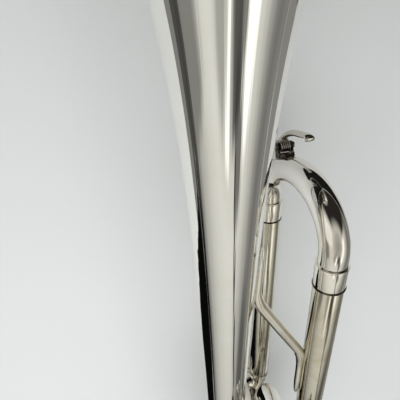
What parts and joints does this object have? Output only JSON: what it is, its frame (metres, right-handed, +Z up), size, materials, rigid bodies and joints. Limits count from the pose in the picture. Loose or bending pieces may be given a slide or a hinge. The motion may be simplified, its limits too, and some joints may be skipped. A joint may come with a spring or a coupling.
{
  "type": "trumpet",
  "caption": "Silver-plated piston trumpet: flared bell, sprung finger valves, sliding tuning crooks, sprung water key and a pull-out cup mouthpiece.",
  "frame": {"origin": "under the middle of the box, on the plane of the three bottom valve caps", "axes": "+X from the mouthpiece to the bell along the bell axis, +Y to the player's left, +Z up, the way the valve stems stand"},
  "size_m": [0.559, 0.1332, 0.1431],
  "materials": {
    "silver_plate": "polished silver plate over brass",
    "piston_metal": "lapped nickel alloy",
    "spring_steel": "drawn wire",
    "pearl": "mother-of-pearl inlay",
    "felt": "felt washer",
    "cork": "cork pad",
    "nylon": "moulded"
  },
  "bodies": {
    "horn": {"bell": "silver_plate", "bell_rim_wire": "silver_plate", "bell_bow": "silver_plate", "bell_ferrule": "silver_plate", "valve_casing_1": "silver_plate", "valve_casing_2": "silver_plate", "valve_casing_3": "silver_plate", "top_cap_1": "silver_plate", "top_cap_2": "silver_plate", "top_cap_3": "silver_plate", "bottom_cap_1": "silver_plate", "bottom_cap_2": "silver_plate", "bottom_cap_3": "silver_plate", "leadpipe": "silver_plate", "mouthpiece_receiver": "silver_plate", "upper_slide_sleeve": "silver_plate", "lower_slide_sleeve": "silver_plate", "first_slide_sleeves": "silver_plate", "second_slide_sleeves": "silver_plate", "third_slide_sleeves": "silver_plate", "front_brace": "silver_plate", "rear_brace": "silver_plate", "bell_casing_post": "silver_plate", "finger_hook": "silver_plate", "valve_guide_1": "nylon", "valve_guide_2": "nylon", "valve_guide_3": "nylon", "valve_spring_1": "spring_steel", "valve_spring_2": "spring_steel", "valve_spring_3": "spring_steel"},
    "valve_1": {"piston_1": "piston_metal", "valve_stem_1": "silver_plate", "button_felt_1": "felt", "finger_button_1": "silver_plate", "button_pearl_1": "pearl"},
    "valve_2": {"piston_2": "piston_metal", "valve_stem_2": "silver_plate", "button_felt_2": "felt", "finger_button_2": "silver_plate", "button_pearl_2": "pearl"},
    "valve_3": {"piston_3": "piston_metal", "valve_stem_3": "silver_plate", "button_felt_3": "felt", "finger_button_3": "silver_plate", "button_pearl_3": "pearl"},
    "tuning_slide": {"tuning_slide_crook": "silver_plate", "slide_ferrule_upper": "silver_plate", "slide_ferrule_lower": "silver_plate", "water_key_saddle": "silver_plate", "water_key_screw": "spring_steel", "water_key_spring": "spring_steel", "water_key_nipple": "silver_plate"},
    "water_key": {"water_key_lever": "silver_plate", "water_key_cork": "cork"},
    "first_slide": {"first_slide_crook": "silver_plate", "first_slide_saddle": "silver_plate"},
    "second_slide": {"second_slide_crook": "silver_plate"},
    "third_slide": {"third_slide_crook": "silver_plate", "third_slide_ring": "silver_plate"},
    "mouthpiece_body": {"mouthpiece": "silver_plate"}
  },
  "joints": [
    {"name": "valve_1_press", "type": "slide", "parent": "horn", "child": "valve_1", "axis": [0, 0, -1], "range_m": [0, 0.016], "stiffness_N_per_m": 110, "springref_m": -0.02, "deforming": ["valve_spring_1"]},
    {"name": "valve_2_press", "type": "slide", "parent": "horn", "child": "valve_2", "axis": [0, 0, -1], "range_m": [0, 0.016], "stiffness_N_per_m": 110, "springref_m": -0.02, "deforming": ["valve_spring_2"]},
    {"name": "valve_3_press", "type": "slide", "parent": "horn", "child": "valve_3", "axis": [0, 0, -1], "range_m": [0, 0.016], "stiffness_N_per_m": 110, "springref_m": -0.02, "deforming": ["valve_spring_3"]},
    {"name": "tuning_slide_pull", "type": "slide", "parent": "horn", "child": "tuning_slide", "axis": [1, 0, 0], "range_m": [0, 0.025]},
    {"name": "water_key_press", "type": "hinge", "parent": "tuning_slide", "child": "water_key", "pos_m": [0.15234, -0.03317, 0.03576], "axis": [0, -0.9872, -0.1595], "range_deg": [0, 20], "stiffness_Nm_per_rad": 0.01, "springref_deg": -28.65},
    {"name": "first_slide_pull", "type": "slide", "parent": "horn", "child": "first_slide", "axis": [-1, 0, 0], "range_m": [0, 0.015]},
    {"name": "second_slide_pull", "type": "slide", "parent": "horn", "child": "second_slide", "axis": [0, -1, 0], "range_m": [0, 0.007]},
    {"name": "third_slide_pull", "type": "slide", "parent": "horn", "child": "third_slide", "axis": [1, 0, 0], "range_m": [0, 0.012]},
    {"name": "mouthpiece_pull", "type": "slide", "parent": "horn", "child": "mouthpiece_body", "axis": [-1, 0, 0], "range_m": [0, 0.022]}
  ]
}
